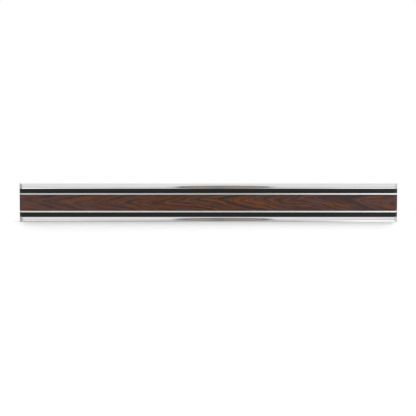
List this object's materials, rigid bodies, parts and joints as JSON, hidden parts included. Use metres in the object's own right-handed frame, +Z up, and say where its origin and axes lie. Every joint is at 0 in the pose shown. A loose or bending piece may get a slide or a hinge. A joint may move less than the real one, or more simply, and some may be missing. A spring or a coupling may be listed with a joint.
{
  "type": "magnetic knife rack",
  "caption": "Slim wall-mounted bar with a wooden inlay between two steel pole strips, backed by magnets, that holds knives by their blades.",
  "frame": {"origin": "centre of the rack's wall face", "axes": "+X along the bar, +Y into the wall so that the front faces -Y, +Z up as the rack hangs"},
  "size_m": [0.45, 0.0144, 0.046],
  "materials": {
    "polished_rail": "polished",
    "black_filler": "satin",
    "pole_steel": "satin",
    "rosewood": "satin",
    "back_aluminium": "satin",
    "zinc_screw": "satin",
    "moulded_black": "matte",
    "ferrite": "matte",
    "spacer_plastic": "matte"
  },
  "bodies": {
    "root": {"upper_rail": "polished_rail", "lower_rail": "polished_rail", "upper_filler_strip": "black_filler", "lower_filler_strip": "black_filler", "upper_pole_strip": "pole_steel", "lower_pole_strip": "pole_steel", "wood_inlay": "rosewood", "back_plate": "back_aluminium", "back_plate_screws": "zinc_screw", "left_end_plug": "moulded_black", "right_end_plug": "moulded_black", "magnet_1": "ferrite", "magnet_2": "ferrite", "magnet_3": "ferrite", "magnet_4": "ferrite", "magnet_5": "ferrite", "magnet_6": "ferrite", "magnet_7": "ferrite", "magnet_8": "ferrite", "magnet_spacer_1": "spacer_plastic", "magnet_spacer_2": "spacer_plastic", "magnet_spacer_3": "spacer_plastic", "magnet_spacer_4": "spacer_plastic", "magnet_spacer_5": "spacer_plastic", "magnet_spacer_6": "spacer_plastic", "magnet_spacer_7": "spacer_plastic", "magnet_spacer_8": "spacer_plastic", "magnet_spacer_9": "spacer_plastic"}
  },
  "joints": []
}
